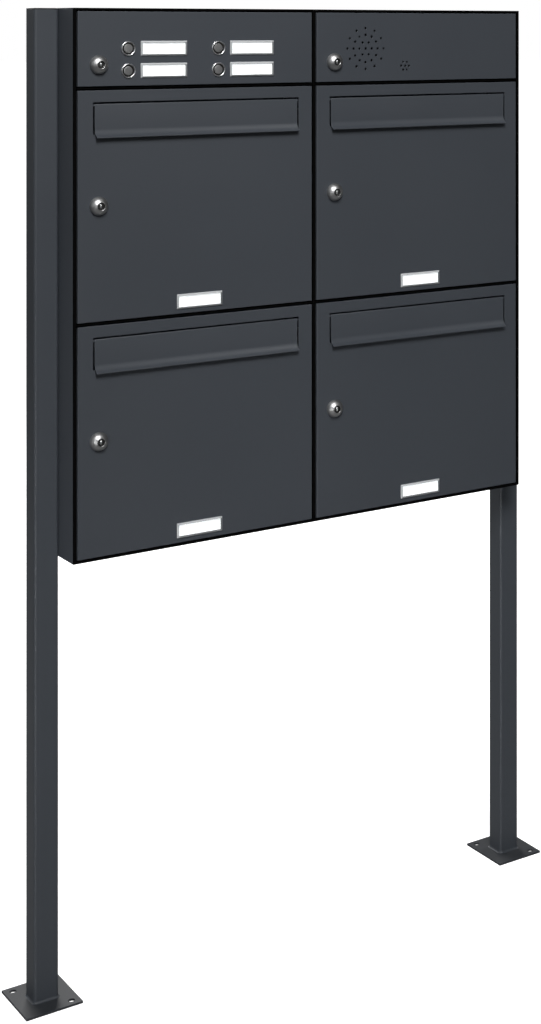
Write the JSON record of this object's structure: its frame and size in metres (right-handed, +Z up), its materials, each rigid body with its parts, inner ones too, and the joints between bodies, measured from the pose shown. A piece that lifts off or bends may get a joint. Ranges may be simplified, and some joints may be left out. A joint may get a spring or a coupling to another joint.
{
  "type": "cluster mailbox unit",
  "caption": "Free-standing letterbox unit: mailboxes with letter flaps and locks, a bell panel and an intercom panel in one flat casing between square posts on base plates.",
  "frame": {"origin": "on the ground, midway between the posts and at half the depth of the casing", "axes": "+Z up, doors face -Y, +X to the right of someone facing the doors"},
  "size_m": [0.859, 0.1325, 1.4],
  "materials": {
    "anthracite": "fine matt anthracite powder coat",
    "casing_grey": "fine matt anthracite powder coat",
    "galvanised": "galvanised sheet",
    "black_trim": "matt black",
    "black_plastic": "matt black",
    "zinc": "zinc plated",
    "lock_metal": "satin chrome",
    "polished_steel": "polished",
    "push_grey": "blasted",
    "clear_plastic": "clear",
    "white_card": "white card",
    "circuit_board": "solder resist",
    "speaker_black": "matt",
    "rubber_black": "matt"
  },
  "bodies": {
    "frame": {"left_post": "anthracite", "right_post": "anthracite", "base_plates": "anthracite", "post_caps": "black_plastic", "post_fixings": "zinc", "left_side_panel": "casing_grey", "right_side_panel": "casing_grey", "roof_panel": "casing_grey", "floor_panel": "casing_grey", "back_panel": "casing_grey", "centre_divider": "galvanised", "shelves": "galvanised", "front_frame": "black_trim", "hinge_pins": "black_trim"},
    "bell_door_leaf": {"bell_door": "anthracite", "bell_lock_housing": "lock_metal", "bell_bezels": "polished_steel", "bell_switch_board": "circuit_board", "bell_name_covers": "clear_plastic", "bell_name_cards": "white_card"},
    "bell_lock": {"bell_lock_plug": "lock_metal", "bell_lock_cam": "zinc"},
    "intercom_door_leaf": {"intercom_door": "anthracite", "intercom_lock_housing": "lock_metal", "intercom_speaker": "speaker_black", "intercom_microphone": "rubber_black"},
    "intercom_lock": {"intercom_lock_plug": "lock_metal", "intercom_lock_cam": "zinc"},
    "upper_left_door_leaf": {"upper_left_door": "anthracite", "upper_left_lock_housing": "lock_metal", "upper_left_name_cover": "clear_plastic", "upper_left_name_card": "white_card"},
    "upper_left_lock": {"upper_left_lock_plug": "lock_metal", "upper_left_lock_cam": "zinc"},
    "upper_left_letter_flap": {"upper_left_flap": "anthracite"},
    "upper_right_door_leaf": {"upper_right_door": "anthracite", "upper_right_lock_housing": "lock_metal", "upper_right_name_cover": "clear_plastic", "upper_right_name_card": "white_card"},
    "upper_right_lock": {"upper_right_lock_plug": "lock_metal", "upper_right_lock_cam": "zinc"},
    "upper_right_letter_flap": {"upper_right_flap": "anthracite"},
    "lower_left_door_leaf": {"lower_left_door": "anthracite", "lower_left_lock_housing": "lock_metal", "lower_left_name_cover": "clear_plastic", "lower_left_name_card": "white_card"},
    "lower_left_lock": {"lower_left_lock_plug": "lock_metal", "lower_left_lock_cam": "zinc"},
    "lower_left_letter_flap": {"lower_left_flap": "anthracite"},
    "lower_right_door_leaf": {"lower_right_door": "anthracite", "lower_right_lock_housing": "lock_metal", "lower_right_name_cover": "clear_plastic", "lower_right_name_card": "white_card"},
    "lower_right_lock": {"lower_right_lock_plug": "lock_metal", "lower_right_lock_cam": "zinc"},
    "lower_right_letter_flap": {"lower_right_flap": "anthracite"},
    "bell_button_1": {"bell_push_1": "push_grey"},
    "bell_button_2": {"bell_push_2": "push_grey"},
    "bell_button_3": {"bell_push_3": "push_grey"},
    "bell_button_4": {"bell_push_4": "push_grey"}
  },
  "joints": [
    {"name": "bell_door_hinge", "type": "hinge", "parent": "frame", "child": "bell_door_leaf", "pos_m": [-0.008, -0.046, 1.3425], "axis": [0, 0, 1], "range_deg": [0, 100]},
    {"name": "bell_lock_turn", "type": "hinge", "parent": "bell_door_leaf", "child": "bell_lock", "pos_m": [-0.336, -0.05, 1.32025], "axis": [0, -1, 0], "range_deg": [0, 90]},
    {"name": "intercom_door_hinge", "type": "hinge", "parent": "frame", "child": "intercom_door_leaf", "pos_m": [0.362, -0.046, 1.3425], "axis": [0, 0, 1], "range_deg": [0, 100]},
    {"name": "intercom_lock_turn", "type": "hinge", "parent": "intercom_door_leaf", "child": "intercom_lock", "pos_m": [0.034, -0.05, 1.32025], "axis": [0, -1, 0], "range_deg": [0, 90]},
    {"name": "upper_left_door_hinge", "type": "hinge", "parent": "frame", "child": "upper_left_door_leaf", "pos_m": [-0.008, -0.046, 1.122], "axis": [0, 0, 1], "range_deg": [0, 100]},
    {"name": "upper_left_lock_turn", "type": "hinge", "parent": "upper_left_door_leaf", "child": "upper_left_lock", "pos_m": [-0.336, -0.05, 1.122], "axis": [0, -1, 0], "range_deg": [0, 90]},
    {"name": "upper_left_flap_hinge", "type": "hinge", "parent": "upper_left_door_leaf", "child": "upper_left_letter_flap", "pos_m": [-0.185, -0.0468, 1.26275], "axis": [-1, 0, 0], "range_deg": [0, 75]},
    {"name": "upper_right_door_hinge", "type": "hinge", "parent": "frame", "child": "upper_right_door_leaf", "pos_m": [0.362, -0.046, 1.122], "axis": [0, 0, 1], "range_deg": [0, 100]},
    {"name": "upper_right_lock_turn", "type": "hinge", "parent": "upper_right_door_leaf", "child": "upper_right_lock", "pos_m": [0.034, -0.05, 1.122], "axis": [0, -1, 0], "range_deg": [0, 90]},
    {"name": "upper_right_flap_hinge", "type": "hinge", "parent": "upper_right_door_leaf", "child": "upper_right_letter_flap", "pos_m": [0.185, -0.0468, 1.26275], "axis": [-1, 0, 0], "range_deg": [0, 75]},
    {"name": "lower_left_door_hinge", "type": "hinge", "parent": "frame", "child": "lower_left_door_leaf", "pos_m": [-0.008, -0.046, 0.792], "axis": [0, 0, 1], "range_deg": [0, 100]},
    {"name": "lower_left_lock_turn", "type": "hinge", "parent": "lower_left_door_leaf", "child": "lower_left_lock", "pos_m": [-0.336, -0.05, 0.792], "axis": [0, -1, 0], "range_deg": [0, 90]},
    {"name": "lower_left_flap_hinge", "type": "hinge", "parent": "lower_left_door_leaf", "child": "lower_left_letter_flap", "pos_m": [-0.185, -0.0468, 0.93275], "axis": [-1, 0, 0], "range_deg": [0, 75]},
    {"name": "lower_right_door_hinge", "type": "hinge", "parent": "frame", "child": "lower_right_door_leaf", "pos_m": [0.362, -0.046, 0.792], "axis": [0, 0, 1], "range_deg": [0, 100]},
    {"name": "lower_right_lock_turn", "type": "hinge", "parent": "lower_right_door_leaf", "child": "lower_right_lock", "pos_m": [0.034, -0.05, 0.792], "axis": [0, -1, 0], "range_deg": [0, 90]},
    {"name": "lower_right_flap_hinge", "type": "hinge", "parent": "lower_right_door_leaf", "child": "lower_right_letter_flap", "pos_m": [0.185, -0.0468, 0.93275], "axis": [-1, 0, 0], "range_deg": [0, 75]},
    {"name": "bell_button_1_travel", "type": "slide", "parent": "bell_door_leaf", "child": "bell_button_1", "axis": [0, 1, 0], "range_m": [0, 0.002]},
    {"name": "bell_button_2_travel", "type": "slide", "parent": "bell_door_leaf", "child": "bell_button_2", "axis": [0, 1, 0], "range_m": [0, 0.002]},
    {"name": "bell_button_3_travel", "type": "slide", "parent": "bell_door_leaf", "child": "bell_button_3", "axis": [0, 1, 0], "range_m": [0, 0.002]},
    {"name": "bell_button_4_travel", "type": "slide", "parent": "bell_door_leaf", "child": "bell_button_4", "axis": [0, 1, 0], "range_m": [0, 0.002]}
  ]
}
